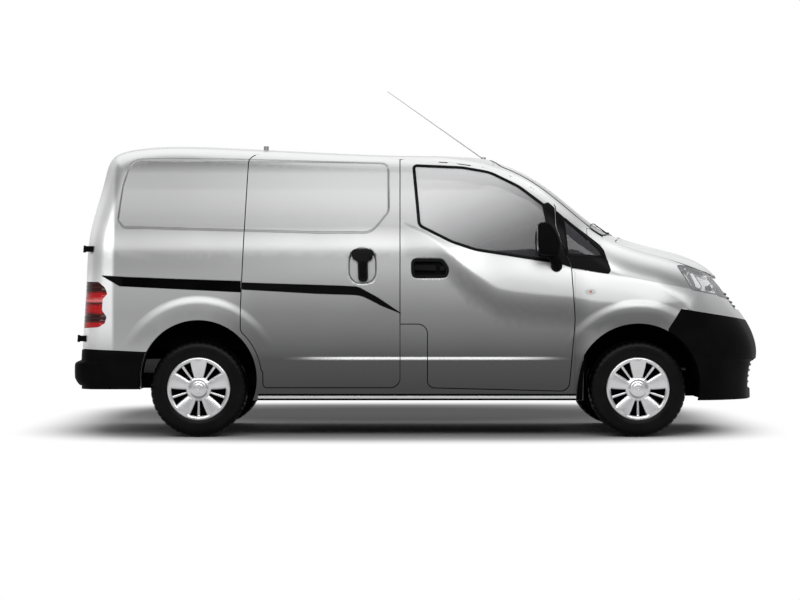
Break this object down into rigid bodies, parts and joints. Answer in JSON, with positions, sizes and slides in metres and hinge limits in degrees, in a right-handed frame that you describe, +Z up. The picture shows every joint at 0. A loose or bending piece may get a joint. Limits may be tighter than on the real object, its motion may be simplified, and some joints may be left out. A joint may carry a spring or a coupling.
{
  "type": "panel van",
  "caption": "Small silver panel van with sliding side doors, unequal rear doors, a short sloping bonnet and spoked wheel covers; wheels, steering, doors and bonnet move.",
  "frame": {"origin": "on the ground under the middle of the body", "axes": "+X to the front, +Y to the vehicle's left, +Z up"},
  "size_m": [4.3871, 2.057, 2.2205],
  "materials": {
    "body_paint": "silver metallic lacquer",
    "black_plastic": "grained black moulding",
    "window_glass": "lightly tinted toughened glass",
    "lamp_glass": "clear lamp cover",
    "lamp_plastic": "red and clear lamp cover",
    "chassis_steel": "dark primer and underseal",
    "cast_block": "as cast",
    "soft_plastic": "soft touch",
    "seat_fabric": "woven seat cloth",
    "tyre_rubber": "road tyre",
    "wheel_silver": "silver wheel lacquer"
  },
  "bodies": {
    "root": {"antenna": "black_plastic", "body_side_left": "body_paint", "body_side_right": "body_paint", "cab_partition": "black_plastic", "cowl_panel": "black_plastic", "dashboard": "black_plastic", "engine_block": "cast_block", "exhaust": "chassis_steel", "floor_pan": "chassis_steel", "front_bumper": "black_plastic", "front_structure": "chassis_steel", "front_subframe": "chassis_steel", "front_wing_left": "body_paint", "front_wing_right": "body_paint", "fuel_tank": "black_plastic", "grille": "black_plastic", "headlamps": "lamp_glass", "quarter_glasses": "window_glass", "rear_axle": "chassis_steel", "rear_bumper": "black_plastic", "rear_hinges": "body_paint", "roof_panel": "body_paint", "seat_backs": "seat_fabric", "seat_cushions": "seat_fabric", "sliding_door_left": "body_paint", "sliding_door_right": "body_paint", "steering_wheel": "soft_plastic", "tail_lamps": "lamp_plastic", "windscreen": "window_glass"},
    "knuckle_left": {"knuckle_left": "cast_block"},
    "knuckle_right": {"knuckle_right": "cast_block"},
    "wheel_front_left": {"wheel_front_left": "wheel_silver", "tyre_front_left": "tyre_rubber"},
    "wheel_front_right": {"wheel_front_right": "wheel_silver", "tyre_front_right": "tyre_rubber"},
    "wheel_rear_left": {"wheel_rear_left": "wheel_silver", "tyre_rear_left": "tyre_rubber"},
    "wheel_rear_right": {"wheel_rear_right": "wheel_silver", "tyre_rear_right": "tyre_rubber"},
    "front_door_left": {"front_door_left": "body_paint", "door_glass_left": "window_glass", "mirror_left": "black_plastic"},
    "front_door_right": {"front_door_right": "body_paint", "door_glass_right": "window_glass", "mirror_right": "black_plastic"},
    "rear_door_left": {"rear_door_left": "body_paint"},
    "rear_door_right": {"rear_door_right": "body_paint"},
    "bonnet": {"bonnet": "body_paint"}
  },
  "joints": [
    {"name": "steer_left", "type": "hinge", "parent": "root", "child": "knuckle_left", "pos_m": [1.354, 0.69, 0.185], "axis": [0, -0.1838, 0.983], "range_deg": [-35, 35]},
    {"name": "wheel_spin_front_left", "type": "hinge", "parent": "knuckle_left", "child": "wheel_front_left", "pos_m": [1.354, 0.738, 0.3], "axis": [0, 1, 0], "continuous": true},
    {"name": "wheel_spin_rear_left", "type": "hinge", "parent": "root", "child": "wheel_rear_left", "pos_m": [-1.371, 0.738, 0.3], "axis": [0, 1, 0], "continuous": true},
    {"name": "steer_right", "type": "hinge", "parent": "root", "child": "knuckle_right", "pos_m": [1.354, -0.69, 0.185], "axis": [0, 0.1838, 0.983], "range_deg": [-35, 35]},
    {"name": "wheel_spin_front_right", "type": "hinge", "parent": "knuckle_right", "child": "wheel_front_right", "pos_m": [1.354, -0.738, 0.3], "axis": [0, 1, 0], "continuous": true},
    {"name": "wheel_spin_rear_right", "type": "hinge", "parent": "root", "child": "wheel_rear_right", "pos_m": [-1.371, -0.738, 0.3], "axis": [0, 1, 0], "continuous": true},
    {"name": "front_door_swing_left", "type": "hinge", "parent": "root", "child": "front_door_left", "pos_m": [0.962, 0.849, 0.7], "axis": [0, 0.0698, -0.9976], "range_deg": [0, 70]},
    {"name": "front_door_swing_right", "type": "hinge", "parent": "root", "child": "front_door_right", "pos_m": [0.962, -0.849, 0.7], "axis": [0, 0.0698, 0.9976], "range_deg": [0, 70]},
    {"name": "rear_door_swing_left", "type": "hinge", "parent": "root", "child": "rear_door_left", "pos_m": [-2.12, 0.775, 0.606], "axis": [-0.0657, 0, -0.9978], "range_deg": [0, 180]},
    {"name": "rear_door_swing_right", "type": "hinge", "parent": "root", "child": "rear_door_right", "pos_m": [-2.12, -0.775, 0.606], "axis": [0.0657, 0, 0.9978], "range_deg": [0, 180]},
    {"name": "bonnet_lift", "type": "hinge", "parent": "root", "child": "bonnet", "pos_m": [1.22, 0, 1.275], "axis": [0, -1, 0], "range_deg": [0, 60]}
  ],
  "couplings": [
    {"joint": "steer_right", "follows": "steer_left", "ratio": 1}
  ]
}
